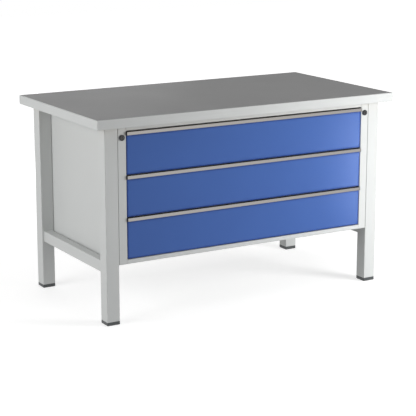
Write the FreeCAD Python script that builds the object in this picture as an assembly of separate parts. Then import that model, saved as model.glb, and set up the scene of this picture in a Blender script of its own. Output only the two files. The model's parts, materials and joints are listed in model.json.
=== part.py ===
"""Workbench with a full-width cabinet of three drawers between two steel leg frames.

Millimetres, +Z up. The origin is on the floor under the middle of the worktop.
+X runs to the right along the front, and the drawers open towards -Y.
"""
import FreeCAD
import Part
import math
import os
from FreeCAD import Vector

# Worktop
worktop_length = 1500.0
worktop_depth = 800.0
bench_height = 890.0
worktop_thickness = 40.0
surface_thickness = 2.0
edge_band_thickness = 4.0
edge_band_round = 3.0
edge_band_edge_round = 2.5

# Leg frames: two legs each, joined by an upper and a lower rail
side_overhang = 50.0
front_overhang = 40.0
leg_size = 60.0
leg_wall = 2.0
leg_corner = 3.0
rail_width = 40.0
rail_wall = 2.0
rail_corner = 3.0
lower_rail_level = 220.0
lower_rail_height = 50.0
upper_rail_height = 25.0

# Feet: plastic end caps plugged into the legs
foot_height = 16.0
foot_chamfer = 2.5
foot_plug_height = 24.0
foot_plug_wall = 3.0
foot_plug_clearance = 0.25

# Cabinet of folded sheet steel, hung between the legs
cabinet_rear_setback = 20.0
cabinet_floor_level = 260.0
cabinet_sheet = 1.5
stile_width = 38.5
stile_return = 18.0
cabinet_flange = 28.0
top_rail_height = 20.0
bottom_rail_height = 19.0
front_rail_return = 16.0
front_rail_foot = 30.0
bend_radius = 1.0

# Bolts and blind rivet nuts that hold the cabinet on the legs
bolt_diameter = 8.0
bolt_length = 16.0
bolt_head_diameter = 14.0
bolt_head_height = 4.5
bolt_head_round = 2.2
bolt_socket_width = 5.0
bolt_socket_depth = 2.6
bolt_edge_distance = 15.0
bolt_low_rise = 60.0
bolt_high_drop = 90.0
rivet_nut_diameter = 11.0
rivet_nut_length = 14.0
rivet_nut_flange = 0.8
rivet_nut_flange_diameter = 15.0
fastener_clearance = 0.1

# Screws that hold the worktop on the upper rails
worktop_screw_diameter = 6.0
worktop_screw_grip = 24.0
worktop_screw_head_diameter = 12.0
worktop_screw_head_height = 3.3
worktop_screw_head_round = 1.6
worktop_screw_socket_width = 4.0
worktop_screw_socket_depth = 2.0
worktop_screws_per_rail = 3
worktop_screw_end_distance = 60.0

# Drawer fronts, from the bottom drawer up: equal, but the top one is a little taller
drawer_names = ("bottom_drawer", "middle_drawer", "top_drawer")
top_front_extra = 5.0
front_side_gap = 2.0
front_top_gap = 4.0
front_foot_gap = 3.0
front_sheet = 1.2
front_flange = 18.0
front_lip = 20.0

# Extruded grip strip along the top of each front, with moulded end caps close to the stiles
grip_height = 15.0
grip_reach = 8.0
grip_recess = 14.0
grip_wall = 2.0
grip_inner_radius = 1.0
grip_edge_round = 0.8
grip_cap_thickness = 1.2
grip_side_gap = 1.0

# Drawer boxes
drawer_sheet = 1.2
drawer_hem = 9.0
box_rear_room = 82.0
box_floor_rise = 10.0
box_head_room = 26.0

# Three-part telescopic runners, one pair to a drawer
drawer_travel = 550.0
runner_rear_inset = 16.0
runner_space = 13.0
runner_height = 45.0
runner_depth = 9.0
runner_sheet = 1.2
runner_lip = 3.0
runner_play = 0.4
runner_bend = 0.4
runner_rise = 40.0
runner_setback = 4.0

# Stops in the runners: each pair of members runs half of the drawer's travel
stop_setback = 12.0
stop_length = 8.0
stop_height = 6.0
stop_offset = 8.0
stop_reach = 4.0
stop_play = 0.5

# Posts inside the cabinet that carry the runners
post_depth = 40.0
rear_post_inset = 60.0

# Cylinder locks, one in each stile
lock_drop = 47.0
lock_rose_diameter = 25.0
lock_rose_height = 5.0
lock_rose_round = 2.0
lock_body_diameter = 19.0
lock_body_length = 22.0
lock_hole_clearance = 0.2
lock_plug_diameter = 14.0
lock_plug_clearance = 0.3
lock_plug_stand = 1.0
key_slot_width = 2.4
key_slot_height = 9.0
key_slot_depth = 12.0
lock_nut_width = 24.0
lock_nut_height = 4.0

# Crank on the back of each lock plug
cam_play = 0.3
cam_thickness = 2.5
cam_hub_radius = 7.0
cam_end_radius = 4.0
crank_radius = 7.0
crank_turn = 90.0
crank_pin_diameter = 4.0
crank_pin_clearance = 0.6

# Lock bar that the crank lifts, with a tab on its face for each drawer
bar_width = 24.0
bar_thickness = 3.0
bar_play = 0.5
bar_head = 14.0
bar_tail = 20.0
tab_height = 8.0
tab_thickness = 2.5
tab_reach = 10.0
tab_inset = 3.0
tab_play = 2.0

# Angle catches on the drawers' sides, which the raised tabs stand in front of
catch_drop = 18.0
catch_height = 14.0
catch_width = 9.0
catch_foot = 16.0
catch_thickness = 2.0
catch_play = 1.5

# Studs that guide the lock bars
stud_diameter = 6.0
stud_clearance = 0.5
stud_head_diameter = 11.0
stud_head_height = 1.8
stud_slot_spare = 1.0

# Levels and planes that follow from the sizes above
worktop_underside = bench_height - worktop_thickness
leg_outer_x = worktop_length / 2 - side_overhang
leg_inner_x = leg_outer_x - leg_size
leg_middle_x = leg_outer_x - leg_size / 2
leg_front_y = front_overhang - worktop_depth / 2
leg_back_y = -leg_front_y
half_travel = drawer_travel / 2
cabinet_side_x = leg_inner_x - rivet_nut_flange
cabinet_inner_x = cabinet_side_x - cabinet_sheet
panel_x = cabinet_inner_x - bend_radius
opening_x = cabinet_side_x - stile_width
cabinet_front_y = leg_front_y
cabinet_back_y = leg_back_y - cabinet_rear_setback
opening_bottom = cabinet_floor_level + bottom_rail_height
opening_top = worktop_underside - top_rail_height
floor_panel_top = cabinet_floor_level + 2 * cabinet_sheet
cabinet_ceiling = worktop_underside - cabinet_sheet

front_room = opening_top - opening_bottom - front_foot_gap - len(drawer_names) * front_top_gap
front_height = (front_room - top_front_extra) / len(drawer_names)
front_x = opening_x - front_side_gap
grip_x = opening_x - grip_side_gap
box_x = opening_x - runner_space
box_front_y = cabinet_front_y + front_flange
box_back_y = cabinet_back_y - box_rear_room
runner_front_y = box_front_y + runner_setback
runner_back_y = box_back_y - runner_rear_inset

lock_x = (cabinet_side_x + opening_x) / 2
lock_z = worktop_underside - lock_drop
cam_front_y = cabinet_front_y + lock_body_length + cam_play
cam_back_y = cam_front_y + cam_thickness
bar_front_y = cam_back_y + bar_play
bar_back_y = bar_front_y + bar_thickness
post_front_y = bar_back_y + bar_play
rear_post_y = runner_back_y - rear_post_inset - post_depth
bar_stroke = 2 * crank_radius * math.sin(math.radians(crank_turn / 2))

# The three drawing planes: each maps (u, v, distance along the normal) to space
PLANES = {
    "xy": lambda u, v, w: Vector(u, v, w),
    "xz": lambda u, v, w: Vector(u, w, v),
    "yz": lambda u, v, w: Vector(w, u, v),
}
AXES = {"xy": Vector(0, 0, 1), "xz": Vector(0, 1, 0), "yz": Vector(1, 0, 0)}
TINY = 1e-6


def corner_arc(before, corner, after, radius):
    """Entry, middle and exit points of the arc that rounds one corner of an outline."""
    to_before = (before - corner).normalize()
    to_after = (after - corner).normalize()
    half_angle = to_before.getAngle(to_after) / 2
    reach = radius / math.tan(half_angle)
    bisector = (to_before + to_after).normalize()
    middle = corner + bisector * (radius / math.sin(half_angle) - radius)
    return corner + to_before * reach, middle, corner + to_after * reach


def outline_face(corners, plane, level):
    """Face inside a closed outline of (u, v, corner radius) on a drawing plane."""
    points = [PLANES[plane](u, v, level) for u, v, _ in corners]
    entries = []
    exits = []
    arcs = []
    for index, point in enumerate(points):
        radius = corners[index][2]
        if radius < TINY:
            entries.append(point)
            exits.append(point)
            arcs.append(None)
            continue
        after = points[(index + 1) % len(points)]
        entry, middle, leave = corner_arc(points[index - 1], point, after, radius)
        entries.append(entry)
        exits.append(leave)
        arcs.append(Part.Arc(entry, middle, leave).toShape())
    edges = []
    for index, entry in enumerate(entries):
        if (entry - exits[index - 1]).Length > TINY:
            edges.append(Part.LineSegment(exits[index - 1], entry).toShape())
        if arcs[index]:
            edges.append(arcs[index])
    return Part.Face(Part.Wire(edges))


def prism(corners, plane, start, end):
    """Solid with the given outline, from one level to another along the plane's normal."""
    return outline_face(corners, plane, start).extrude(AXES[plane] * (end - start))


def block(x, y, z):
    """Box between pairs of limits along each axis."""
    corner = Vector(min(x), min(y), min(z))
    return Part.makeBox(abs(x[1] - x[0]), abs(y[1] - y[0]), abs(z[1] - z[0]), corner)


def rectangle(u, v, radius=0.0):
    """Outline of a rectangle between pairs of limits, with rounded corners."""
    return [(u[0], v[0], radius), (u[1], v[0], radius), (u[1], v[1], radius), (u[0], v[1], radius)]


def folded(path, thickness, bend):
    """Outline of a sheet folded along a path, with the sheet on the left of the path."""
    points = [Vector(u, v, 0) for u, v in path]
    headings = [(b - a).normalize() for a, b in zip(points, points[1:])]
    normals = [Vector(-h.y, h.x, 0) for h in headings]
    near = [(points[0].x, points[0].y, 0.0)]
    start = points[0] + normals[0] * thickness
    far = [(start.x, start.y, 0.0)]
    for index in range(1, len(points) - 1):
        first = normals[index - 1]
        second = normals[index]
        across = points[index] + (first + second) * (thickness / (1 + first.dot(second)))
        turns_left = headings[index - 1].cross(headings[index]).z > 0
        near_radius = bend + thickness if turns_left else bend
        far_radius = bend if turns_left else bend + thickness
        near.append((points[index].x, points[index].y, near_radius))
        far.append((across.x, across.y, far_radius))
    stop = points[-1] + normals[-1] * thickness
    near.append((points[-1].x, points[-1].y, 0.0))
    far.append((stop.x, stop.y, 0.0))
    return near + far[::-1]


def hexagon(width, u, v):
    """Outline of a hexagon round a point, of the given width across its flats."""
    radius = width / 2 / math.cos(math.pi / 6)
    angles = [index * math.pi / 3 for index in range(6)]
    return [(u + radius * math.cos(angle), v + radius * math.sin(angle), 0.0) for angle in angles]


def rod(centre, direction, diameter, length):
    """Round bar from a centre point along a direction."""
    return Part.makeCylinder(diameter / 2, length, centre, direction)


def button_screw(plane, place, way, shank, head, head_round, socket):
    """Screw with a rounded head and a hexagon socket.

    The place is (u, v, level) on the plane where the head sits, and way (1 or -1) is where the
    shank points along the normal. The shank, head and socket are pairs of width and length.
    """
    u, v, level = place
    seat = PLANES[plane](u, v, level)
    axis = AXES[plane] * way
    button = rod(seat, -axis, *head)
    circles = [edge for edge in button.Edges if isinstance(edge.Curve, Part.Circle)]
    rim = [edge for edge in circles if (edge.Curve.Center - seat).Length > TINY]
    button = button.makeFillet(head_round, rim)
    face = level - way * head[1]
    recess = prism(hexagon(socket[0], u, v), plane, *sorted((face, face + way * socket[1])))
    return fuse_all([rod(seat, axis, *shank), button]).cut(recess)


def mirrored(shape):
    """The same piece on the right-hand side."""
    return shape.mirror(Vector(0, 0, 0), Vector(1, 0, 0))


def cut_all(shape, tools):
    """The shape with every tool taken out of it."""
    return shape.cut(Part.makeCompound(tools)) if tools else shape


def fuse_all(shapes):
    """One solid from pieces of the same sheet."""
    return shapes[0].multiFuse(shapes[1:]).removeSplitter()


def spread(first, last, count):
    """Evenly spaced places from first to last."""
    return [first + (last - first) * index / (count - 1) for index in range(count)]


# Fastener places on the left-hand side
bolt_rows_y = (leg_front_y + bolt_edge_distance, leg_back_y - leg_size + bolt_edge_distance)
bolt_rows_z = (cabinet_floor_level + bolt_low_rise, worktop_underside - bolt_high_drop)
worktop_screw_rows = spread(
    leg_front_y + leg_size + worktop_screw_end_distance,
    leg_back_y - leg_size - worktop_screw_end_distance,
    worktop_screws_per_rail,
)


class Drawer:
    """Levels of one drawer, from the foot of its front."""

    def __init__(self, name, foot, height):
        self.name = name
        self.foot = foot
        self.head = foot + height
        self.grip_level = self.head - grip_height
        self.box_floor = foot + box_floor_rise
        self.box_top = self.head - box_head_room
        self.runner_level = self.box_floor + runner_rise
        self.catch_level = self.box_top - catch_drop - catch_height
        self.tab_level = self.catch_level - tab_play - tab_height


def drawer_levels():
    """The drawers, from the bottom up."""
    levels = []
    level = opening_bottom + front_foot_gap
    for name in drawer_names:
        height = front_height + top_front_extra if name == drawer_names[-1] else front_height
        levels.append(Drawer(name, level, height))
        level += height + front_top_gap
    return levels


drawers = drawer_levels()


def worktop_edge_band():
    """Band round the board, rounded along its outer edges."""
    half_length = worktop_length / 2
    half_depth = worktop_depth / 2
    outside = prism(
        rectangle((-half_length, half_length), (-half_depth, half_depth), edge_band_round),
        "xy", worktop_underside, bench_height,
    )
    rims = [e for e in outside.Edges if abs(e.CenterOfMass.z - bench_height) < TINY]
    rims += [e for e in outside.Edges if abs(e.CenterOfMass.z - worktop_underside) < TINY]
    outside = outside.makeFillet(edge_band_edge_round, rims)
    return outside.cut(worktop_board(worktop_underside, bench_height))


def worktop_board(bottom, top):
    """Board inside the edge band, between two levels."""
    half_length = worktop_length / 2 - edge_band_thickness
    half_depth = worktop_depth / 2 - edge_band_thickness
    return block((-half_length, half_length), (-half_depth, half_depth), (bottom, top))


def worktop_core():
    """Pressed-wood core, drilled from below for its screws."""
    core = worktop_board(worktop_underside, bench_height - surface_thickness)
    hole = worktop_screw_diameter + 2 * fastener_clearance
    tools = []
    for side in (-1, 1):
        for y in worktop_screw_rows:
            start = Vector(side * leg_middle_x, y, worktop_underside)
            tools.append(rod(start, AXES["xy"], hole, worktop_screw_grip + fastener_clearance))
    return cut_all(core, tools)


def worktop_screws():
    """Screws up through the upper rails into the core."""
    shank = (worktop_screw_diameter, upper_rail_height + worktop_screw_grip)
    head = (worktop_screw_head_diameter, worktop_screw_head_height)
    socket = (worktop_screw_socket_width, worktop_screw_socket_depth)
    screws = []
    for y in worktop_screw_rows:
        place = (-leg_middle_x, y, worktop_underside - upper_rail_height)
        screws.append(button_screw("xy", place, 1, shank, head, worktop_screw_head_round, socket))
    return with_mirrors(screws)


def leg(y_limits, bolt_y):
    """Left-hand square tube leg, drilled for its rivet nuts."""
    x_limits = (-leg_outer_x, -leg_inner_x)
    bottom = foot_height
    outside = prism(rectangle(x_limits, y_limits, leg_corner), "xy", bottom, worktop_underside)
    bore_x = (x_limits[0] + leg_wall, x_limits[1] - leg_wall)
    bore_y = (y_limits[0] + leg_wall, y_limits[1] - leg_wall)
    bore = prism(rectangle(bore_x, bore_y, leg_corner - leg_wall), "xy", bottom, worktop_underside)
    hole = rivet_nut_diameter + 2 * fastener_clearance
    tools = [bore]
    for z in bolt_rows_z:
        tools.append(rod(Vector(-leg_inner_x, bolt_y, z), -AXES["yz"], hole, 2 * leg_wall))
    return cut_all(outside, tools)


def foot(y_limits):
    """Left-hand foot cap with a hollow plug that fits inside the leg."""
    x_limits = (-leg_outer_x, -leg_inner_x)
    cap = prism(rectangle(x_limits, y_limits, leg_corner), "xy", 0, foot_height)
    cap = cap.makeChamfer(foot_chamfer, [e for e in cap.Edges if e.CenterOfMass.z < TINY])
    inset = leg_wall + foot_plug_clearance
    plug_top = foot_height + foot_plug_height
    plug_x = (x_limits[0] + inset, x_limits[1] - inset)
    plug_y = (y_limits[0] + inset, y_limits[1] - inset)
    plug = prism(rectangle(plug_x, plug_y, leg_corner - leg_wall), "xy", foot_height, plug_top)
    hollow_x = (plug_x[0] + foot_plug_wall, plug_x[1] - foot_plug_wall)
    hollow_y = (plug_y[0] + foot_plug_wall, plug_y[1] - foot_plug_wall)
    hollow = block(hollow_x, hollow_y, (foot_height, plug_top))
    return fuse_all([cap, plug.cut(hollow)])


def side_rail(bottom, height):
    """Left-hand tube between the front and the rear leg."""
    half = rail_width / 2
    x_limits = (-leg_middle_x - half, -leg_middle_x + half)
    z_limits = (bottom, bottom + height)
    start = leg_front_y + leg_size
    end = leg_back_y - leg_size
    outside = prism(rectangle(x_limits, z_limits, rail_corner), "xz", start, end)
    bore_x = (x_limits[0] + rail_wall, x_limits[1] - rail_wall)
    bore_z = (z_limits[0] + rail_wall, z_limits[1] - rail_wall)
    bore = prism(rectangle(bore_x, bore_z, rail_corner - rail_wall), "xz", start, end)
    return outside.cut(bore)


def upper_rail():
    """Left-hand rail under the worktop, drilled through for the worktop screws."""
    rail = side_rail(worktop_underside - upper_rail_height, upper_rail_height)
    hole = worktop_screw_diameter + 2 * fastener_clearance
    start = worktop_underside - upper_rail_height
    tools = []
    for y in worktop_screw_rows:
        tools.append(rod(Vector(-leg_middle_x, y, start), AXES["xy"], hole, upper_rail_height))
    return cut_all(rail, tools)


def cabinet_side():
    """Left-hand side of the cabinet: one sheet folded into stile, wall and flanges."""
    path = [
        (-opening_x, cabinet_front_y + stile_return),
        (-opening_x, cabinet_front_y),
        (-cabinet_side_x, cabinet_front_y),
        (-cabinet_side_x, cabinet_back_y),
        (-cabinet_side_x + cabinet_flange, cabinet_back_y),
    ]
    path.reverse()
    wall = prism(folded(path, cabinet_sheet, bend_radius), "xy", cabinet_floor_level, worktop_underside)
    flange_x = (-cabinet_inner_x, -cabinet_side_x + cabinet_flange)
    flange_y = (cabinet_front_y + cabinet_sheet, cabinet_back_y - cabinet_sheet)
    foot_flange = block(flange_x, flange_y, (cabinet_floor_level, cabinet_floor_level + cabinet_sheet))
    head_flange = block(flange_x, flange_y, (cabinet_ceiling, worktop_underside))
    side = fuse_all([wall, foot_flange, head_flange])
    hole = bolt_diameter + 2 * fastener_clearance
    tools = []
    for y in bolt_rows_y:
        for z in bolt_rows_z:
            tools.append(rod(Vector(-cabinet_side_x, y, z), AXES["yz"], hole, cabinet_sheet))
    lock_hole = lock_body_diameter + 2 * lock_hole_clearance
    lock_start = Vector(-lock_x, cabinet_front_y, lock_z)
    tools.append(rod(lock_start, AXES["xz"], lock_hole, cabinet_sheet))
    return cut_all(side, tools)


def cabinet_back():
    """Back sheet, held in front of the rear flanges."""
    y_limits = (cabinet_back_y - 2 * cabinet_sheet, cabinet_back_y - cabinet_sheet)
    return block((-panel_x, panel_x), y_limits, (floor_panel_top, cabinet_ceiling))


def cabinet_floor():
    """Floor sheet, laid on the bottom flanges behind the stiles."""
    y_limits = (cabinet_front_y + front_rail_foot, cabinet_back_y - cabinet_sheet)
    z_limits = (cabinet_floor_level + cabinet_sheet, floor_panel_top)
    return block((-panel_x, panel_x), y_limits, z_limits)


def cabinet_front_rail(outer, inner):
    """Channel across the front, with a deep flange at its outer level and a short one inside."""
    path = [
        (cabinet_front_y + front_rail_return, inner),
        (cabinet_front_y, inner),
        (cabinet_front_y, outer),
        (cabinet_front_y + front_rail_foot + cabinet_sheet, outer),
    ]
    if outer > inner:
        path.reverse()
    profile = folded(path, cabinet_sheet, bend_radius)
    return prism(profile, "yz", -opening_x, opening_x)


def runner_post(front):
    """Left-hand upright channel that carries the runners, open towards the side wall."""
    path = [
        (-cabinet_inner_x, front),
        (-opening_x, front),
        (-opening_x, front + post_depth),
        (-cabinet_inner_x, front + post_depth),
    ]
    return prism(folded(path, cabinet_sheet, bend_radius), "xy", floor_panel_top, cabinet_ceiling)


def rivet_nuts():
    """Blind rivet nuts in the legs: their flanges space the cabinet off the legs."""
    nuts = []
    for y in bolt_rows_y:
        for z in bolt_rows_z:
            seat = Vector(-leg_inner_x, y, z)
            barrel = rod(seat, -AXES["yz"], rivet_nut_diameter, rivet_nut_length)
            flange = rod(seat, AXES["yz"], rivet_nut_flange_diameter, rivet_nut_flange)
            start = seat + AXES["yz"] * rivet_nut_flange
            bore = rod(start, -AXES["yz"], bolt_diameter + 2 * fastener_clearance,
                       rivet_nut_length + rivet_nut_flange)
            nuts.append(fuse_all([barrel, flange]).cut(bore))
    return with_mirrors(nuts)


def cabinet_bolts():
    """Bolts from inside the cabinet into the rivet nuts."""
    shank = (bolt_diameter, bolt_length)
    head = (bolt_head_diameter, bolt_head_height)
    socket = (bolt_socket_width, bolt_socket_depth)
    bolts = []
    for y in bolt_rows_y:
        for z in bolt_rows_z:
            place = (y, z, -cabinet_inner_x)
            bolts.append(button_screw("yz", place, -1, shank, head, bolt_head_round, socket))
    return with_mirrors(bolts)


def runner_solid(path, level):
    """Left-hand runner member from one half of its path: (distance from the post, height)."""
    whole = path + [(depth, -height) for depth, height in reversed(path)]
    placed = [(-opening_x + depth, level + height) for depth, height in whole]
    profile = folded(placed, runner_sheet, runner_bend)
    return prism(profile, "xz", runner_front_y, runner_back_y)


def stop_tongue(level, root, front_y):
    """Left-hand tongue lanced out of a runner's web, from the web's back towards the drawer."""
    depth = (root, root + runner_sheet + stop_reach)
    half = stop_height / 2
    return block(
        (-opening_x + depth[0], -opening_x + depth[1]),
        (front_y, front_y + stop_length),
        (level - half, level + half),
    )


def cabinet_runner(level):
    """Outer member: a lipped channel fixed to the posts, with a stop for the middle one."""
    half = runner_height / 2
    path = [(runner_depth, half - runner_lip), (runner_depth, half), (0, half)]
    stop = stop_tongue(level - stop_offset, 0, runner_front_y + stop_setback)
    return fuse_all([runner_solid(path, level), stop])


def slide_runner(level):
    """Middle member: a lipped channel whose slot runs along the outer one's stop."""
    half = runner_height / 2 - runner_sheet - runner_play
    near = runner_sheet + runner_play
    far = runner_depth - runner_sheet - runner_play
    path = [(far, half - runner_lip), (far, half), (near, half)]
    slot_level = level - stop_offset
    slot_half = stop_height / 2 + stop_play
    slot_front = runner_front_y + stop_setback - stop_play
    slot_back = slot_front + stop_length + half_travel + 2 * stop_play
    slot = prism(
        rectangle((slot_front, slot_back), (slot_level - slot_half, slot_level + slot_half), bend_radius),
        "yz", -opening_x + near, -opening_x + near + runner_sheet,
    )
    stop_front = runner_back_y - runner_sheet - half_travel - stop_play - stop_length
    stop = stop_tongue(level + stop_offset, near, stop_front)
    return fuse_all([runner_solid(path, level).cut(slot), stop])


def drawer_runner(level):
    """Inner member on the drawer's side: its hooks run behind the lips of the middle one."""
    hook_half = runner_height / 2 - 2 * (runner_sheet + runner_play)
    neck_half = runner_height / 2 - runner_sheet - runner_lip - 2 * runner_play
    hook = 2 * (runner_sheet + runner_play) + runner_sheet
    path = [(hook, -hook_half), (hook, -neck_half), (runner_space, -neck_half)]
    end_flange = block(
        (-opening_x + hook, -opening_x + runner_space - runner_sheet),
        (runner_back_y - runner_sheet, runner_back_y),
        (level - neck_half + runner_sheet, level + neck_half - runner_sheet),
    )
    return fuse_all([runner_solid(path, level), end_flange])


def rounded_front(x, y, z, radius):
    """Box with a rounded edge all round its front face."""
    box = block(x, y, z)
    return box.makeFillet(radius, [e for e in box.Edges if abs(e.CenterOfMass.y - y[0]) < TINY])


def drawer_front(drawer):
    """Front pan of folded sheet, with lips along the head and foot of its open back."""
    back = cabinet_front_y + front_flange
    outer_z = (drawer.foot, drawer.grip_level)
    inner_x = (-front_x + front_sheet, front_x - front_sheet)
    inner_z = (outer_z[0] + front_sheet, outer_z[1] - front_sheet)
    window_z = (outer_z[0] + front_lip, outer_z[1] - front_lip)
    outside = rounded_front((-front_x, front_x), (cabinet_front_y, back), outer_z, bend_radius + front_sheet)
    hollow_y = (cabinet_front_y + front_sheet, back - front_sheet)
    hollow = rounded_front(inner_x, hollow_y, inner_z, bend_radius)
    window = block(inner_x, (back - front_sheet, back), window_z)
    return cut_all(outside, [hollow, window])


def grip_strip(drawer):
    """Extruded channel, open at the top, with its front wall standing proud of the front."""
    toe = cabinet_front_y - grip_reach
    heel = cabinet_front_y + grip_recess
    path = [(heel, drawer.head), (heel, drawer.grip_level), (toe, drawer.grip_level), (toe, drawer.head)]
    path.reverse()
    half_length = grip_x - grip_cap_thickness
    strip = prism(folded(path, grip_wall, grip_inner_radius), "yz", -half_length, half_length)
    rims = [e for e in strip.Edges if abs(e.CenterOfMass.z - drawer.head) < TINY and e.Length > grip_wall]
    return strip.makeFillet(grip_edge_round, rims)


def grip_cap(drawer):
    """Moulded plate on the left-hand end of the grip strip."""
    toe = cabinet_front_y - grip_reach
    heel = cabinet_front_y + grip_recess
    outline = rectangle((toe, heel), (drawer.grip_level, drawer.head), grip_edge_round)
    outline[0] = (toe, drawer.grip_level, grip_inner_radius + grip_wall)
    outline[1] = (heel, drawer.grip_level, grip_inner_radius + grip_wall)
    return prism(outline, "yz", -grip_x, -grip_x + grip_cap_thickness)


def drawer_tray(drawer):
    """Floor, inner front and back of the box, folded from one sheet, with hemmed top edges."""
    path = [
        (box_front_y, drawer.box_top),
        (box_front_y, drawer.box_floor),
        (box_back_y, drawer.box_floor),
        (box_back_y, drawer.box_top),
    ]
    half = box_x - drawer_sheet
    tray = prism(folded(path, drawer_sheet, bend_radius), "yz", -half, half)
    hem_z = (drawer.box_top - drawer_hem, drawer.box_top)
    front_hem = block((-half, half), (box_front_y + drawer_sheet, box_front_y + 2 * drawer_sheet), hem_z)
    back_hem = block((-half, half), (box_back_y - 2 * drawer_sheet, box_back_y - drawer_sheet), hem_z)
    return fuse_all([tray, front_hem, back_hem])


def drawer_side(drawer):
    """Left-hand wall of the box, with a hemmed top edge."""
    wall = block((-box_x, -box_x + drawer_sheet), (box_front_y, box_back_y),
                 (drawer.box_floor, drawer.box_top))
    hem = block(
        (-box_x + drawer_sheet, -box_x + 2 * drawer_sheet),
        (box_front_y + 2 * drawer_sheet, box_back_y - 2 * drawer_sheet),
        (drawer.box_top - drawer_hem, drawer.box_top),
    )
    return fuse_all([wall, hem])


def drawer_catch(drawer):
    """Left-hand angle on the outside of the box, just behind the path of the lock bar's tab."""
    front = bar_front_y + catch_play
    path = [(-box_x - catch_width, front), (-box_x, front), (-box_x, front + catch_foot)]
    profile = folded(path, catch_thickness, bend_radius)
    return prism(profile, "xy", drawer.catch_level, drawer.catch_level + catch_height)


def lock_housing():
    """Left-hand lock body with its rose, bored for the plug."""
    seat = Vector(-lock_x, cabinet_front_y, lock_z)
    rose = rod(seat, -AXES["xz"], lock_rose_diameter, lock_rose_height)
    rim = [e for e in rose.Edges if abs(e.CenterOfMass.y - cabinet_front_y + lock_rose_height) < TINY]
    rose = rose.makeFillet(lock_rose_round, rim)
    body = rod(seat, AXES["xz"], lock_body_diameter, lock_body_length)
    bore = rod(
        seat - AXES["xz"] * lock_rose_height, AXES["xz"],
        lock_plug_diameter + 2 * lock_plug_clearance, lock_rose_height + lock_body_length,
    )
    return fuse_all([rose, body]).cut(bore)


def lock_plug():
    """Left-hand plug that the key turns, from its face to the crank."""
    face_y = cabinet_front_y - lock_rose_height - lock_plug_stand
    plug = rod(Vector(-lock_x, face_y, lock_z), AXES["xz"], lock_plug_diameter, cam_front_y - face_y)
    slot = block(
        (-lock_x - key_slot_width / 2, -lock_x + key_slot_width / 2),
        (face_y, face_y + key_slot_depth),
        (lock_z - key_slot_height / 2, lock_z + key_slot_height / 2),
    )
    return plug.cut(slot)


def lock_nut():
    """Left-hand hexagon nut behind the stile."""
    start = cabinet_front_y + cabinet_sheet
    nut = prism(hexagon(lock_nut_width, -lock_x, lock_z), "xz", start, start + lock_nut_height)
    bore_diameter = lock_body_diameter + 2 * fastener_clearance
    return nut.cut(rod(Vector(-lock_x, start, lock_z), AXES["xz"], bore_diameter, lock_nut_height))


def crank_pin_centre(turned):
    """Place of the left-hand crank pin on the XZ plane after a turn in degrees."""
    angle = math.radians(turned - crank_turn / 2)
    return -lock_x + crank_radius * math.cos(angle), lock_z + crank_radius * math.sin(angle)


def lock_cam():
    """Left-hand crank behind the plug, with the pin that lifts the lock bar."""
    pin_x, pin_z = crank_pin_centre(0)
    hub = rod(Vector(-lock_x, cam_front_y, lock_z), AXES["xz"], 2 * cam_hub_radius, cam_thickness)
    end = rod(Vector(pin_x, cam_front_y, pin_z), AXES["xz"], 2 * cam_end_radius, cam_thickness)
    pin_length = bar_play + bar_thickness
    pin = rod(Vector(pin_x, cam_back_y, pin_z), AXES["xz"], crank_pin_diameter, pin_length)
    return fuse_all([hub, end, pin])


def stud_levels():
    """Heights of the two studs that guide each lock bar, between its tabs."""
    levels = [drawer.tab_level for drawer in drawers]
    return [(low + high) / 2 for low, high in zip(levels, levels[1:])]


def lock_bar():
    """Left-hand flat bar with a slot for the crank's pin and two guide slots."""
    half = bar_width / 2
    z_limits = (drawers[0].tab_level - bar_tail, lock_z + bar_head)
    bar = block((-lock_x - half, -lock_x + half), (bar_front_y, bar_back_y), z_limits)
    pin_slot = crank_pin_diameter / 2 + crank_pin_clearance
    pin_x, pin_z = crank_pin_centre(0)
    slot_x = (pin_x - pin_slot, -lock_x + crank_radius + pin_slot)
    slots = [rectangle(slot_x, (pin_z - pin_slot, pin_z + pin_slot), pin_slot)]
    guide = stud_diameter / 2 + stud_clearance
    for level in stud_levels():
        guide_z = (level - bar_stroke - guide - stud_slot_spare, level + guide + stud_slot_spare)
        slots.append(rectangle((-lock_x - guide, -lock_x + guide), guide_z, guide))
    return cut_all(bar, [prism(slot, "xz", bar_front_y, bar_back_y) for slot in slots])


def lock_tab(drawer):
    """Left-hand tab on the bar's face that reaches into the way of the drawer's catch."""
    return block(
        (-lock_x - bar_width / 2 + tab_inset, -opening_x + tab_reach),
        (bar_front_y - tab_thickness, bar_front_y),
        (drawer.tab_level, drawer.tab_level + tab_height),
    )


def lock_bar_studs():
    """Headed studs on the front posts that guide the lock bars."""
    studs = []
    for level in stud_levels():
        seat = Vector(-lock_x, post_front_y, level)
        shank_length = bar_play * 2 + bar_thickness
        shank = rod(seat, -AXES["xz"], stud_diameter, shank_length)
        head = rod(seat - AXES["xz"] * shank_length, -AXES["xz"], stud_head_diameter, stud_head_height)
        studs.append(fuse_all([shank, head]))
    return with_mirrors(studs)


def with_mirrors(shapes):
    """Left-hand pieces together with their right-hand ones."""
    return shapes + [mirrored(shape) for shape in shapes]


def both_sides(pieces, name, shapes):
    """Add left-hand pieces and their mirror images as two nodes."""
    pieces["left_" + name] = shapes
    pieces["right_" + name] = [mirrored(shape) for shape in shapes]


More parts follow.
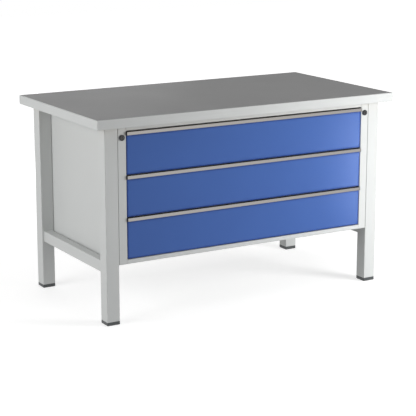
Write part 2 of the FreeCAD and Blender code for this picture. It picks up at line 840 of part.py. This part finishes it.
def build():
    """Every node of the bench with its solids."""
    pieces = {
        "worktop_core": [worktop_core()],
        "worktop_surface": [worktop_board(bench_height - surface_thickness, bench_height)],
        "worktop_edge_band": [worktop_edge_band()],
        "worktop_screws": worktop_screws(),
        "cabinet_back": [cabinet_back()],
        "cabinet_floor": [cabinet_floor()],
        "rivet_nuts": rivet_nuts(),
        "cabinet_bolts": cabinet_bolts(),
        "lock_bar_studs": lock_bar_studs(),
    }
    front_y = (leg_front_y, leg_front_y + leg_size)
    rear_y = (leg_back_y - leg_size, leg_back_y)
    both_sides(pieces, "front_leg", [leg(front_y, bolt_rows_y[0])])
    both_sides(pieces, "rear_leg", [leg(rear_y, bolt_rows_y[1])])
    pieces["foot_caps"] = with_mirrors([foot(front_y), foot(rear_y)])
    both_sides(pieces, "lower_rail", [side_rail(lower_rail_level, lower_rail_height)])
    both_sides(pieces, "upper_rail", [upper_rail()])
    both_sides(pieces, "cabinet_side", [cabinet_side()])
    pieces["cabinet_top_rail"] = [cabinet_front_rail(worktop_underside, opening_top)]
    pieces["cabinet_bottom_rail"] = [cabinet_front_rail(cabinet_floor_level, opening_bottom)]
    pieces["runner_posts"] = with_mirrors([runner_post(post_front_y), runner_post(rear_post_y)])
    both_sides(pieces, "lock_housing", [lock_housing()])
    both_sides(pieces, "lock_plug", [lock_plug()])
    both_sides(pieces, "lock_cam", [lock_cam()])
    both_sides(pieces, "lock_bar", [lock_bar()])
    both_sides(pieces, "lock_tabs", [lock_tab(drawer) for drawer in drawers])
    pieces["lock_nuts"] = with_mirrors([lock_nut()])
    pieces["cabinet_runners"] = with_mirrors([cabinet_runner(d.runner_level) for d in drawers])
    for drawer in drawers:
        pairs = {
            "slide_runners": slide_runner(drawer.runner_level),
            "drawer_runners": drawer_runner(drawer.runner_level),
            "sides": drawer_side(drawer),
            "lock_catches": drawer_catch(drawer),
            "grip_caps": grip_cap(drawer),
        }
        for name, left in pairs.items():
            pieces[drawer.name + "_" + name] = with_mirrors([left])
        pieces[drawer.name + "_tray"] = [drawer_tray(drawer)]
        pieces[drawer.name + "_front"] = [drawer_front(drawer)]
        pieces[drawer.name + "_grip"] = [grip_strip(drawer)]
    return pieces


def main():
    """Write each node and print its volume."""
    os.makedirs("parts", exist_ok=True)
    for name, solids in build().items():
        shape = solids[0] if len(solids) == 1 else Part.makeCompound(solids)
        shape.exportStep("parts/%s.step" % name)
        print("%-28s %d solids, %10.1f mm3, valid %s"
              % (name, len(shape.Solids), shape.Volume, shape.isValid()))


main()
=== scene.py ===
"""Looks for the workbench: finishes for every piece, welds, rivets, a pale studio and the camera."""
import bpy
import json
import math
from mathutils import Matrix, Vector


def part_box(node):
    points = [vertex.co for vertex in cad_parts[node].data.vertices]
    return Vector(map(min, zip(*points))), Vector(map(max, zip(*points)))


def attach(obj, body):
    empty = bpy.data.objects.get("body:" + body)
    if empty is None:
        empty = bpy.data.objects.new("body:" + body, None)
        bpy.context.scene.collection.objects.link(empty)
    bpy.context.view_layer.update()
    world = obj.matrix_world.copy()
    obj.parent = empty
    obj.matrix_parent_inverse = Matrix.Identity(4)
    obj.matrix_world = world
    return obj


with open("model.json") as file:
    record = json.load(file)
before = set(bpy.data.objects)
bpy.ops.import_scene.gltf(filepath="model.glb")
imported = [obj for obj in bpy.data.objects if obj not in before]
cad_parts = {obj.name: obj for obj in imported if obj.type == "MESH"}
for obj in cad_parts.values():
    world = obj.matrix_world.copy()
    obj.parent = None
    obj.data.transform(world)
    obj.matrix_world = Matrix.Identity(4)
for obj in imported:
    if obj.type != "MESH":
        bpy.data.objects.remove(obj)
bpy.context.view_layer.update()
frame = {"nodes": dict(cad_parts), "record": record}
nodes = frame["nodes"]
subparts = frame["record"]["subparts"]

MM = 0.001

# Camera, matched to the photograph
camera_place = (-3.210, -5.461, 1.864)
camera_tilt_down = math.radians(13.38)
camera_turn = math.radians(-30.48)
camera_lens_mm = 121.8

# Weld beads where the rails meet the legs
weld_radius_mm = 2.0
weld_ripple_mm = 2.6
weld_ripple_depth_mm = 0.35
weld_steps_per_ripple = 4
weld_sides = 10

# Pop rivets that hold the back and the floor of the cabinet
rivet_diameter_mm = 6.5
rivet_height_mm = 1.4
rivet_sides = 20
rivet_rings = 5
rivet_spacing_mm = 105.0
rivet_edge_mm = 14.0
rivet_row_end_mm = 28.0
rivet_front_mm = 56.0

# Finishes
bevel_samples = 4

# Studio: lengths in metres, strengths where 1 is white, and the angle of the sheen lamp's grid
floor_size = 24.0
floor_bounce_tone = "#b4b4b4"
floor_glow = 0.64
floor_shadow_share = 0.55
shadow_reach = 1.1
shadow_fade_out = 2.3
ambient_strength = 0.22
sheen_spread = math.radians(45)


def linear(hex_colour):
    """Linear RGBA of an sRGB hex colour."""
    channels = [int(hex_colour[i:i + 2], 16) / 255 for i in (1, 3, 5)]
    return tuple(c / 12.92 if c <= 0.04045 else ((c + 0.055) / 1.055) ** 2.4 for c in channels) + (1.0,)


def per_mm(size_mm):
    """Texture scale whose features are about this many millimetres across."""
    return 1 / (size_mm * MM)


def set_inputs(tree, node, inputs):
    """Set inputs to values, or feed them from a node or a socket.

    An input is named, or given by its place where names repeat. Sockets that the settings hide don't count.
    """
    in_use = [socket for socket in node.inputs if socket.enabled]
    by_name = {socket.name: socket for socket in reversed(in_use)}
    for key, value in inputs.items():
        socket = in_use[key] if isinstance(key, int) else by_name[key]
        if isinstance(value, bpy.types.Node):
            value = next(output for output in value.outputs if output.enabled)
        if isinstance(value, bpy.types.NodeSocket):
            tree.links.new(value, socket)
        else:
            socket.default_value = value


def add(tree, kind, inputs=None, **settings):
    """Add a node with its settings and inputs."""
    node = tree.nodes.new(kind)
    for name, value in settings.items():
        setattr(node, name, value)
    set_inputs(tree, node, inputs or {})
    return node


def new_material(name):
    """Material with its node tree, its shader and its Object coordinates."""
    material = bpy.data.materials.new(name)
    material.use_nodes = True
    tree = material.node_tree
    tree.nodes.clear()
    shader = add(tree, "ShaderNodeBsdfPrincipled")
    add(tree, "ShaderNodeOutputMaterial", {"Surface": shader})
    place = add(tree, "ShaderNodeTexCoord").outputs["Object"]
    return material, tree, shader, place


def powder_coat(name, body_tone, cloud_tone, edge_tone_and_painted_shade, roughness, shine=0.5, edge_mm=2.0):
    """Baked polyester powder on steel: satin, faintly pebbled, with another tone along its edges, which on
    the blue fronts is painted shade.
    """
    material, tree, shader, place = new_material(name)
    clouds = add(tree, "ShaderNodeTexNoise", {"Vector": place, "Scale": per_mm(180), "Detail": 3.0})
    body = add(tree, "ShaderNodeMix", {"Factor": clouds, "A": linear(body_tone), "B": linear(cloud_tone)},
               data_type="RGBA")
    # An edge is where the rounded normal turns away from the flat one
    rounded = add(tree, "ShaderNodeBevel", {"Radius": edge_mm * MM}, samples=bevel_samples)
    flat = add(tree, "ShaderNodeNewGeometry").outputs["Normal"]
    likeness = add(tree, "ShaderNodeVectorMath", {0: rounded, 1: flat}, operation="DOT_PRODUCT")
    edge = add(tree, "ShaderNodeMapRange", {"Value": likeness, "From Min": 0.995, "From Max": 0.88,
                                            "To Max": 0.9})
    # The edge tone is mixed in along the edges; on the blue fronts this darker tone is painted shade on the
    # rounded edges
    colour = add(tree, "ShaderNodeMix", {"Factor": edge, "A": body, "B": linear(edge_tone_and_painted_shade)},
                 data_type="RGBA")
    # The pebbling of real powder is about 1.5 mm across and is drawn at 2.5 mm so that it shows
    pebbles = add(tree, "ShaderNodeTexNoise", {"Vector": place, "Scale": per_mm(2.5), "Detail": 2.0})
    bump = add(tree, "ShaderNodeBump", {"Height": pebbles, "Strength": 0.10, "Distance": 0.4 * MM,
                                        "Normal": rounded})
    gloss = add(tree, "ShaderNodeMapRange", {"Value": clouds, "To Min": roughness - 0.05,
                                             "To Max": roughness + 0.05})
    set_inputs(tree, shader, {"Base Color": colour, "Roughness": gloss, "Normal": bump,
                              "Specular IOR Level": shine})
    return material


def light_grey_powder_coat():
    """Frame and cabinet: cool light grey."""
    return powder_coat("light_grey_powder_coat", "#c6c8c7", "#cacccb", "#d6d8d7", 0.46)


def drawer_powder_coat():
    """Drawer boxes: nearly the same grey, a little smoother."""
    return powder_coat("drawer_powder_coat", "#c4c6c5", "#c9cbca", "#d4d6d5", 0.42)


def blue_powder_coat():
    """Drawer fronts: mid blue, with painted shade, a darker blue about 10 mm wide, along the rounded edges.
    """
    return powder_coat("blue_powder_coat", "#385a9d", "#3d5fa2", "#1a3a8c", 0.44, shine=0.4, edge_mm=10.0)


def grey_laminate():
    """High-pressure laminate with a pearl-grain face: matte, evenly speckled in two close greys."""
    material, tree, shader, place = new_material("grey_pearl_laminate")
    # The real grain is about 0.5 mm across and is drawn at 1.6 mm so that it shows
    grain = add(tree, "ShaderNodeTexNoise", {"Vector": place, "Scale": per_mm(1.6), "Detail": 2.0})
    dots = add(tree, "ShaderNodeMapRange", {"Value": grain, "From Min": 0.3, "From Max": 0.7})
    speckle = add(tree, "ShaderNodeMix", {"Factor": dots, "A": linear("#777777"), "B": linear("#828282")},
                  data_type="RGBA")
    cloud = add(tree, "ShaderNodeTexNoise", {"Vector": place, "Scale": per_mm(240), "Detail": 2.0})
    haze = add(tree, "ShaderNodeMapRange", {"Value": cloud, "To Max": 0.12})
    colour = add(tree, "ShaderNodeMix", {"Factor": haze, "A": speckle, "B": linear("#8e8e8e")},
                 data_type="RGBA")
    bump = add(tree, "ShaderNodeBump", {"Height": grain, "Strength": 0.15, "Distance": 0.2 * MM})
    rough = add(tree, "ShaderNodeMapRange", {"Value": cloud, "To Min": 0.52, "To Max": 0.62})
    set_inputs(tree, shader, {"Base Color": colour, "Roughness": rough, "Normal": bump,
                              "Specular IOR Level": 0.25})
    return material


def grey_edge_band():
    """Extruded ABS edging: satin, with faint drawn lines along the edge."""
    material, tree, shader, place = new_material("light_grey_abs_edging")
    # The real lines are about 0.5 mm apart and are drawn at 3 mm so that they show
    drawn = add(tree, "ShaderNodeMapping", {"Vector": place, "Scale": (0.02, 0.02, 1.0)})
    lines = add(tree, "ShaderNodeTexNoise", {"Vector": drawn, "Scale": per_mm(3.0), "Detail": 2.0})
    colour = add(tree, "ShaderNodeMix", {"Factor": lines, "A": linear("#c2c4c3"), "B": linear("#c9cbca")},
                 data_type="RGBA")
    bump = add(tree, "ShaderNodeBump", {"Height": lines, "Strength": 0.12, "Distance": 0.2 * MM})
    rough = add(tree, "ShaderNodeMapRange", {"Value": lines, "To Min": 0.38, "To Max": 0.48})
    set_inputs(tree, shader, {"Base Color": colour, "Roughness": rough, "Normal": bump, "IOR": 1.53})
    return material


def chipboard():
    """Pressed wood chips under a sealer: mottled straw browns, visible on the underside."""
    material, tree, shader, place = new_material("pressed_chipboard")
    chips = add(tree, "ShaderNodeTexVoronoi", {"Vector": place, "Scale": per_mm(7)}, feature="F1")
    tone = add(tree, "ShaderNodeSeparateColor", {"Color": chips.outputs["Color"]}).outputs["Red"]
    straw = add(tree, "ShaderNodeMix", {"Factor": tone, "A": linear("#a98c62"), "B": linear("#cdb487")},
                data_type="RGBA")
    fibres = add(tree, "ShaderNodeTexNoise", {"Vector": place, "Scale": per_mm(2), "Detail": 4.0})
    shade = add(tree, "ShaderNodeMapRange", {"Value": fibres, "To Max": 0.5})
    colour = add(tree, "ShaderNodeMix", {"Factor": shade, "A": straw, "B": linear("#8a6d47")},
                 data_type="RGBA")
    bump = add(tree, "ShaderNodeBump", {"Height": fibres, "Strength": 0.25, "Distance": 0.4 * MM})
    set_inputs(tree, shader, {"Base Color": colour, "Roughness": 0.8, "Normal": bump})
    return material


def anodised_aluminium():
    """Extruded and satin-anodised strip: warm silver with long fine die lines."""
    material, tree, shader, place = new_material("satin_anodised_aluminium")
    # Real die lines are about 0.3 mm apart and are drawn at 1.4 mm so that they show
    drawn = add(tree, "ShaderNodeMapping", {"Vector": place, "Scale": (0.004, 1.0, 1.0)})
    lines = add(tree, "ShaderNodeTexNoise", {"Vector": drawn, "Scale": per_mm(1.4), "Detail": 3.0})
    colour = add(tree, "ShaderNodeMix", {"Factor": lines, "A": linear("#a3a09d"), "B": linear("#afaca9")},
                 data_type="RGBA")
    bump = add(tree, "ShaderNodeBump", {"Height": lines, "Strength": 0.06, "Distance": 0.1 * MM})
    rough = add(tree, "ShaderNodeMapRange", {"Value": lines, "To Min": 0.14, "To Max": 0.22})
    set_inputs(tree, shader, {"Base Color": colour, "Roughness": rough, "Normal": bump, "Metallic": 1.0})
    return material


def moulded_plastic(name, low_tone, high_tone, grain_mm, roughness):
    """Injection-moulded plastic with a spark-eroded grain: matte, with a soft broad sheen."""
    material, tree, shader, place = new_material(name)
    # The real grain is about 0.1 mm across and is drawn over ten times as coarse so that it shows
    grain = add(tree, "ShaderNodeTexNoise", {"Vector": place, "Scale": per_mm(grain_mm), "Detail": 2.0})
    colour = add(tree, "ShaderNodeMix", {"Factor": grain, "A": linear(low_tone), "B": linear(high_tone)},
                 data_type="RGBA")
    rounded = add(tree, "ShaderNodeBevel", {"Radius": 0.5 * MM}, samples=bevel_samples)
    bump = add(tree, "ShaderNodeBump", {"Height": grain, "Strength": 0.2, "Distance": 0.2 * MM,
                                        "Normal": rounded})
    rough = add(tree, "ShaderNodeMapRange", {"Value": grain, "To Min": roughness - 0.05,
                                             "To Max": roughness + 0.08})
    set_inputs(tree, shader, {"Base Color": colour, "Roughness": rough, "Normal": bump, "IOR": 1.5})
    return material


def black_plastic():
    """Grip caps and lock roses: black nylon."""
    return moulded_plastic("black_moulded_nylon", "#2e2f32", "#3a3b3e", 1.2, 0.42)


def foot_plastic():
    """Foot caps: dark grey polyethylene, with a coarser grain."""
    return moulded_plastic("dark_grey_polyethylene", "#444748", "#515455", 1.6, 0.5)


def zinc_plate():
    """Bright zinc plate on rolled steel: cool silver in faint cloudy patches."""
    material, tree, shader, place = new_material("bright_zinc_plate")
    patches = add(tree, "ShaderNodeTexVoronoi", {"Vector": place, "Scale": per_mm(9)}, feature="SMOOTH_F1")
    tone = add(tree, "ShaderNodeSeparateColor", {"Color": patches.outputs["Color"]}).outputs["Green"]
    colour = add(tree, "ShaderNodeMix", {"Factor": tone, "A": linear("#b7bcc0"), "B": linear("#cbcfd1")},
                 data_type="RGBA")
    # Real rolling lines are about 0.3 mm apart and are drawn at 1.2 mm so that they show
    rolled = add(tree, "ShaderNodeMapping", {"Vector": place, "Scale": (1.0, 0.02, 1.0)})
    lines = add(tree, "ShaderNodeTexNoise", {"Vector": rolled, "Scale": per_mm(1.2), "Detail": 3.0})
    bump = add(tree, "ShaderNodeBump", {"Height": lines, "Strength": 0.12, "Distance": 0.1 * MM})
    rough = add(tree, "ShaderNodeMapRange", {"Value": tone, "To Min": 0.30, "To Max": 0.41})
    set_inputs(tree, shader, {"Base Color": colour, "Roughness": rough, "Normal": bump, "Metallic": 1.0})
    return material


def lock_nickel():
    """Die-cast plug with a dulled nickel plate: dark silver with a fine speckle."""
    material, tree, shader, place = new_material("dull_nickel_plate")
    # The real speckle is about 0.2 mm across and is drawn at 0.8 mm so that it shows
    speckle = add(tree, "ShaderNodeTexNoise", {"Vector": place, "Scale": per_mm(0.8), "Detail": 2.0})
    colour = add(tree, "ShaderNodeMix", {"Factor": speckle, "A": linear("#4c4c4c"), "B": linear("#5e5e5e")},
                 data_type="RGBA")
    bump = add(tree, "ShaderNodeBump", {"Height": speckle, "Strength": 0.1, "Distance": 0.1 * MM})
    rough = add(tree, "ShaderNodeMapRange", {"Value": speckle, "To Min": 0.3, "To Max": 0.45})
    set_inputs(tree, shader, {"Base Color": colour, "Roughness": rough, "Normal": bump, "Metallic": 0.9})
    return material


def dress_nodes(finishes):
    """Give every CAD node the finish of its material slot in the record."""
    for entry in subparts:
        mesh = nodes[entry["node"]].data
        mesh.materials.clear()
        mesh.materials.append(finishes[entry["material_slot"]])


def new_piece(name, vertices, edges=()):
    """Object at the origin whose mesh holds only points and edges."""
    mesh = bpy.data.meshes.new(name)
    mesh.from_pydata(vertices, list(edges), [])
    piece = bpy.data.objects.new(name, mesh)
    bpy.context.scene.collection.objects.link(piece)
    return piece


def new_tree(name, sizes):
    """Geometry tree with named size inputs and a material input."""
    tree = bpy.data.node_groups.new(name, "GeometryNodeTree")
    tree.interface.new_socket("Geometry", in_out="INPUT", socket_type="NodeSocketGeometry")
    for size in sizes:
        tree.interface.new_socket(size, in_out="INPUT", socket_type="NodeSocketFloat")
    tree.interface.new_socket("Finish", in_out="INPUT", socket_type="NodeSocketMaterial")
    tree.interface.new_socket("Geometry", in_out="OUTPUT", socket_type="NodeSocketGeometry")
    return tree, add(tree, "NodeGroupInput").outputs


def end_tree(tree, shape, finish):
    """End a geometry tree in real geometry with its finish."""
    real = add(tree, "GeometryNodeRealizeInstances", {"Geometry": shape})
    done = add(tree, "GeometryNodeSetMaterial", {"Geometry": real, "Material": finish})
    add(tree, "NodeGroupOutput", {"Geometry": done})
    return tree


def grow(piece, tree, values):
    """Run a geometry tree on a piece and keep the result as its plain mesh."""
    modifier = piece.modifiers.new(tree.name, "NODES")
    modifier.node_group = tree
    for socket in tree.interface.items_tree:
        if socket.in_out == "INPUT" and socket.name in values:
            modifier[socket.identifier] = values[socket.name]
    evaluated = piece.evaluated_get(bpy.context.evaluated_depsgraph_get())
    mesh = bpy.data.meshes.new_from_object(evaluated)
    piece.modifiers.remove(modifier)
    piece.data = mesh


def weld_tree():
    """Rippled bead along each path."""
    tree, given = new_tree("weld_bead", ["Radius", "Ripple", "Ripple Depth"])
    path = add(tree, "GeometryNodeMeshToCurve", {"Mesh": given["Geometry"]})
    step = add(tree, "ShaderNodeMath", {0: given["Ripple"], 1: weld_steps_per_ripple}, operation="DIVIDE")
    fine = add(tree, "GeometryNodeResampleCurve", {"Curve": path, "Length": step}, mode="LENGTH")
    along = add(tree, "GeometryNodeSplineParameter").outputs["Length"]
    turns = add(tree, "ShaderNodeMath", {0: along, 1: given["Ripple"]}, operation="DIVIDE")
    angle = add(tree, "ShaderNodeMath", {0: turns, 1: math.tau}, operation="MULTIPLY")
    wave = add(tree, "ShaderNodeMath", {0: angle}, operation="SINE")
    swell = add(tree, "ShaderNodeMath", {0: wave, 1: given["Ripple Depth"], 2: given["Radius"]},
                operation="MULTIPLY_ADD")
    circle = add(tree, "GeometryNodeCurvePrimitiveCircle", {"Resolution": weld_sides, "Radius": 1.0})
    bead = add(tree, "GeometryNodeCurveToMesh", {"Curve": fine, "Profile Curve": circle, "Scale": swell,
                                                 "Fill Caps": True})
    smooth = add(tree, "GeometryNodeSetShadeSmooth", {"Geometry": bead})
    return end_tree(tree, smooth, given["Finish"])


def rail_ends(rail):
    """Corners of both ends of a rail, from one top corner down and up to the other."""
    low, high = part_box(rail)
    return [[(low.x, y, high.z), (low.x, y, low.z), (high.x, y, low.z), (high.x, y, high.z)]
            for y in (low.y, high.y)]


def weld_beads(finish):
    """Welds at the ends of all four rails, as one piece on the frame.

    They go all round the lower rails, and leave out the tops of the upper ones, where the worktop lies.
    """
    vertices = []
    edges = []
    for side in ("left", "right"):
        for rail, all_round in (("_lower_rail", True), ("_upper_rail", False)):
            for corners in rail_ends(side + rail):
                first = len(vertices)
                last = first + len(corners) - 1
                vertices += corners
                edges += [(i, i + 1) for i in range(first, last)]
                if all_round:
                    edges.append((last, first))
    piece = new_piece("weld_beads", vertices, edges)
    grow(piece, weld_tree(), {"Radius": weld_radius_mm * MM, "Ripple": weld_ripple_mm * MM,
                              "Ripple Depth": weld_ripple_depth_mm * MM, "Finish": finish})
    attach(piece, "frame")


def rivet_tree():
    """Domed head on each point, turned to the point's own direction."""
    tree, given = new_tree("rivet_heads", ["Diameter", "Height"])
    radius = add(tree, "ShaderNodeMath", {0: given["Diameter"], 1: 2.0}, operation="DIVIDE")
    cone = add(tree, "GeometryNodeMeshCone", {"Vertices": rivet_sides, "Side Segments": rivet_rings,
                                              "Radius Top": 0.0, "Radius Bottom": radius,
                                              "Depth": given["Height"]})
    # The cone's rings rise to a dome: the height times the root of 1 less the square of their radius share
    place = add(tree, "GeometryNodeInputPosition")
    flat = add(tree, "ShaderNodeVectorMath", {0: place, 1: (1.0, 1.0, 0.0)}, operation="MULTIPLY")
    reach = add(tree, "ShaderNodeVectorMath", {0: flat}, operation="LENGTH")
    share = add(tree, "ShaderNodeMath", {0: reach, 1: radius}, operation="DIVIDE")
    square = add(tree, "ShaderNodeMath", {0: share, 1: 2.0}, operation="POWER")
    rest = add(tree, "ShaderNodeMath", {0: 1.0, 1: square}, operation="SUBTRACT", use_clamp=True)
    root = add(tree, "ShaderNodeMath", {0: rest, 1: 0.5}, operation="POWER")
    level = add(tree, "ShaderNodeMath", {0: root, 1: given["Height"]}, operation="MULTIPLY")
    raised = add(tree, "ShaderNodeCombineXYZ", {"Z": level})
    dome_place = add(tree, "ShaderNodeVectorMath", {0: flat, 1: raised}, operation="ADD")
    dome = add(tree, "GeometryNodeSetPosition", {"Geometry": cone, "Position": dome_place})
    smooth = add(tree, "GeometryNodeSetShadeSmooth", {"Geometry": dome, "Selection": cone.outputs["Side"]})
    facing = add(tree, "GeometryNodeInputNamedAttribute", {"Name": "facing"}, data_type="FLOAT_VECTOR")
    turn = add(tree, "FunctionNodeAlignRotationToVector", {"Vector": facing}, axis="Z")
    heads = add(tree, "GeometryNodeInstanceOnPoints", {"Points": given["Geometry"], "Instance": smooth,
                                                       "Rotation": turn})
    return end_tree(tree, heads, given["Finish"])


def spread(first, last, spacing):
    """Evenly spaced places from first to last, about this far apart."""
    count = max(2, round(abs(last - first) / spacing) + 1)
    return [first + (last - first) * i / (count - 1) for i in range(count)]


def rivet_places():
    """Points and directions of the rivets on the cabinet's rear and bottom flanges."""
    edge = rivet_edge_mm * MM
    row_end = rivet_row_end_mm * MM
    spacing = rivet_spacing_mm * MM
    places = []
    for side in ("left_cabinet_side", "right_cabinet_side"):
        low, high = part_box(side)
        x = low.x + edge if side.startswith("left") else high.x - edge
        for z in spread(low.z + row_end, high.z - row_end, spacing):
            places.append(((x, high.y, z), (0, 1, 0)))
        for y in spread(low.y + rivet_front_mm * MM, high.y - row_end, spacing):
            places.append(((x, y, low.z), (0, 0, -1)))
    return places


def cabinet_rivets(finish):
    """Rivet heads on the back and underside of the cabinet, as one piece on the frame."""
    places = rivet_places()
    piece = new_piece("cabinet_rivets", [place for place, _ in places])
    facing = piece.data.attributes.new("facing", "FLOAT_VECTOR", "POINT")
    for item, (_, direction) in zip(facing.data, places):
        item.vector = direction
    grow(piece, rivet_tree(), {"Diameter": rivet_diameter_mm * MM, "Height": rivet_height_mm * MM,
                               "Finish": finish})
    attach(piece, "frame")


def any_ray(tree, *kinds):
    """1 for rays of any of these kinds, and 0 for other rays."""
    rays = add(tree, "ShaderNodeLightPath").outputs
    share = rays[kinds[0]]
    for kind in kinds[1:]:
        share = add(tree, "ShaderNodeMath", {0: share, 1: rays[kind]}, operation="MAXIMUM")
    return share


def floor_paper():
    """White studio paper, with a soft shadow near the bench for the camera, and plain white in gloss."""
    material = bpy.data.materials.new("white_studio_floor")
    material.use_nodes = True
    tree = material.node_tree
    tree.nodes.clear()
    place = add(tree, "ShaderNodeTexCoord").outputs["Object"]
    distance = add(tree, "ShaderNodeVectorMath", {0: place}, operation="LENGTH")
    level = add(tree, "ShaderNodeMapRange", {"Value": distance, "From Min": shadow_reach,
                                             "From Max": shadow_fade_out, "To Min": floor_glow},
                interpolation_type="SMOOTHSTEP")
    glow = add(tree, "ShaderNodeEmission", {"Color": linear("#ffffff"), "Strength": level})
    share = (floor_shadow_share, floor_shadow_share, floor_shadow_share, 1.0)
    shaded = add(tree, "ShaderNodeBsdfDiffuse", {"Color": share})
    shown = add(tree, "ShaderNodeAddShader", {0: shaded, 1: glow})
    bounce = add(tree, "ShaderNodeBsdfDiffuse", {"Color": linear(floor_bounce_tone)})
    lit = add(tree, "ShaderNodeMixShader", {0: any_ray(tree, "Is Camera Ray"), 1: bounce, 2: shown})
    white = add(tree, "ShaderNodeEmission", {"Color": linear("#ffffff"), "Strength": 1.0})
    mirrored = any_ray(tree, "Is Glossy Ray", "Is Transmission Ray")
    paper = add(tree, "ShaderNodeMixShader", {0: mirrored, 1: lit, 2: white})
    add(tree, "ShaderNodeOutputMaterial", {"Surface": paper})
    return material


def studio_floor():
    """Wide square of paper that the bench stands on."""
    half = floor_size / 2
    corners = [(-half, -half, 0), (half, -half, 0), (half, half, 0), (-half, half, 0)]
    mesh = bpy.data.meshes.new("studio_floor")
    mesh.from_pydata(corners, [], [(0, 1, 2, 3)])
    mesh.materials.append(floor_paper())
    floor = bpy.data.objects.new("studio_floor", mesh)
    bpy.context.scene.collection.objects.link(floor)


def studio_world():
    """White background for the camera and in gloss, and a weaker even light for the bench."""
    world = bpy.data.worlds.new("studio")
    world.use_nodes = True
    tree = world.node_tree
    tree.nodes.clear()
    shown = any_ray(tree, "Is Camera Ray", "Is Glossy Ray", "Is Transmission Ray")
    level = add(tree, "ShaderNodeMapRange", {"Value": shown, "To Min": ambient_strength})
    sky = add(tree, "ShaderNodeBackground", {"Color": linear("#ffffff"), "Strength": level})
    add(tree, "ShaderNodeOutputWorld", {"Surface": sky})
    bpy.context.scene.world = world


def soft_box(name, place, target, width, height, watts, mirrored=True):
    """Rectangular lamp aimed at a point, which glossy surfaces mirror or not."""
    lamp = bpy.data.lights.new(name, "AREA")
    lamp.shape = "RECTANGLE"
    lamp.size = width
    lamp.size_y = height
    lamp.energy = watts
    holder = bpy.data.objects.new(name, lamp)
    holder.location = place
    holder.rotation_euler = (Vector(target) - Vector(place)).to_track_quat("-Z", "Y").to_euler()
    holder.visible_glossy = mirrored
    holder.visible_camera = False
    bpy.context.scene.collection.objects.link(holder)
    return holder


def sheen_lamp():
    """Small lamp behind a grid off the right end of the fronts, seen only as a sheen on their blue coat."""
    lamp = soft_box("sheen_right", place=(1.03, -0.78, 0.44), target=(0.68, -0.36, 0.52),
                    width=0.15, height=0.50, watts=0.33)
    lamp.data.spread = sheen_spread
    lamp.visible_diffuse = False
    fronts = bpy.data.collections.new("blue_fronts")
    for entry in subparts:
        if entry["material_slot"] == "blue_enamel":
            fronts.objects.link(nodes[entry["node"]])
    lamp.light_linking.receiver_collection = fronts


def studio_lamps():
    """Key lamp right of the front, a broad lamp above, fills on the left and behind, and the sheen lamp."""
    soft_box("key_right", place=(1.8, -2.0, 0.8), target=(0.4, -0.36, 0.5),
             width=0.9, height=1.4, watts=65, mirrored=False)
    soft_box("broad_above", place=(0.9, 0.0, 3.6), target=(0.2, 0.0, 0.9),
             width=3.2, height=2.4, watts=21)
    soft_box("fill_left", place=(-3.6, -0.2, 1.3), target=(-0.7, 0.1, 0.4),
             width=2.4, height=2.0, watts=66)
    soft_box("soft_behind", place=(0.4, 3.3, 0.7), target=(0.0, 0.36, 0.5),
             width=2.4, height=1.2, watts=48)
    sheen_lamp()


def photo_camera():
    """Camera at the photograph's viewpoint."""
    data = bpy.data.cameras.new("photo_camera")
    data.lens = camera_lens_mm
    camera = bpy.data.objects.new("photo_camera", data)
    camera.location = camera_place
    camera.rotation_euler = (math.pi / 2 - camera_tilt_down, 0.0, camera_turn)
    bpy.context.scene.collection.objects.link(camera)
    bpy.context.scene.camera = camera


def build_scene():
    """Dress the bench and set up the studio."""
    grey = light_grey_powder_coat()
    finishes = {
        "board": chipboard(),
        "worktop_laminate": grey_laminate(),
        "edge_band": grey_edge_band(),
        "light_grey_enamel": grey,
        "blue_enamel": blue_powder_coat(),
        "drawer_enamel": drawer_powder_coat(),
        "anodised_aluminium": anodised_aluminium(),
        "black_plastic": black_plastic(),
        "foot_plastic": foot_plastic(),
        "zinc_steel": zinc_plate(),
        "nickel_steel": lock_nickel(),
    }
    dress_nodes(finishes)
    weld_beads(grey)
    cabinet_rivets(grey)
    studio_floor()
    studio_world()
    studio_lamps()
    photo_camera()
    bpy.context.scene.view_settings.view_transform = "Standard"


build_scene()
